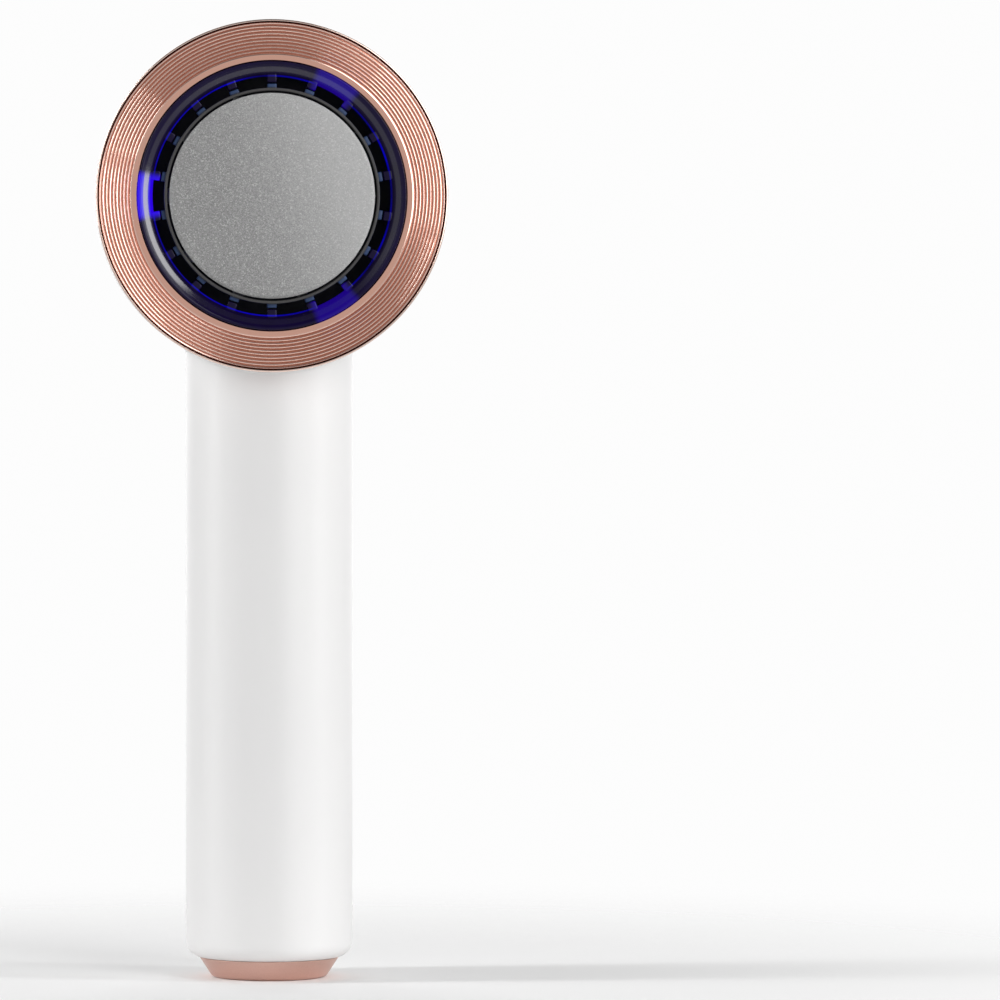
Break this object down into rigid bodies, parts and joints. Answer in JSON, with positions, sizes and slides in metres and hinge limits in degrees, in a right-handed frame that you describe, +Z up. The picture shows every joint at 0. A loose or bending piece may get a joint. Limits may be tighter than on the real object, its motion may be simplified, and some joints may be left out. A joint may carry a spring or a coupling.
{
  "type": "electric callus remover",
  "caption": "Cordless rotary skin smoother: upright tube handle, round head with an abrasive disc inside a slotted suction ring, rear power button and a charging foot.",
  "frame": {"origin": "centre of the foot's underside, on the handle's axis", "axes": "+Z up the handle to the head, -Y out of the abrasive disc, +Y out of the power button, +X completes the right-handed frame"},
  "size_m": [0.0718, 0.0452, 0.1969],
  "materials": {
    "shell_white": "satin-gloss warm white",
    "rose_gold": "satin rose gold, lightly brushed",
    "clear_blue": "glossy dark cobalt, lit from behind in three places",
    "dark_grey": "satin dark grey",
    "grit": "fine bright mineral grit on grey",
    "black_plastic": "matt black",
    "black_rubber": "matt",
    "steel": "drawn steel",
    "circuit_board": "green solder mask",
    "felt": "pressed felt",
    "smoked_plastic": "smoked",
    "led": "blue lamp body",
    "copper": "enamelled winding",
    "bronze": "sintered",
    "cell_wrap": "shrink wrap",
    "red_wire": "insulation",
    "black_wire": "insulation"
  },
  "bodies": {
    "housing": {"battery_cell": "cell_wrap", "battery_cradle": "black_plastic", "body_shell": "shell_white", "charge_board": "circuit_board", "charge_socket": "steel", "chassis_screw_1": "steel", "chassis_screw_2": "steel", "chassis_screw_3": "steel", "control_board": "circuit_board", "dust_cup": "smoked_plastic", "dust_filter": "felt", "fan_shroud": "black_plastic", "foot_cap": "rose_gold", "front_bearing": "bronze", "led_1": "led", "led_2": "led", "led_3": "led", "led_board": "circuit_board", "motor_can": "steel", "motor_end_cap": "black_plastic", "motor_plate": "black_plastic", "motor_screw_1": "steel", "motor_screw_2": "steel", "negative_lead": "black_wire", "positive_lead": "red_wire", "rear_bearing": "bronze", "rear_cover": "shell_white", "socket_tongue": "black_plastic", "tact_switch": "black_plastic", "wave_washer": "steel"},
    "motor_rotor": {"motor_shaft": "steel", "armature": "copper", "fan_impeller": "black_plastic"},
    "disc": {"abrasive_pad": "grit", "disc_backing": "dark_grey"},
    "collar": {"trim_ring": "rose_gold", "suction_ring": "clear_blue", "guard_ring": "dark_grey", "collar_seal": "black_rubber"},
    "button": {"power_button": "rose_gold"}
  },
  "joints": [
    {"name": "motor_spin", "type": "hinge", "parent": "housing", "child": "motor_rotor", "pos_m": [0, 0, 0.161], "axis": [0, -1, 0], "continuous": true},
    {"name": "disc_pull", "type": "slide", "parent": "motor_rotor", "child": "disc", "axis": [0, -1, 0], "range_m": [0, 0.012]},
    {"name": "collar_pull", "type": "slide", "parent": "housing", "child": "collar", "axis": [0, -1, 0], "range_m": [0, 0.012]},
    {"name": "button_press", "type": "slide", "parent": "housing", "child": "button", "axis": [0, -1, 0], "range_m": [0, 0.0006], "stiffness_N_per_m": 900, "springref_m": -0.0003}
  ]
}
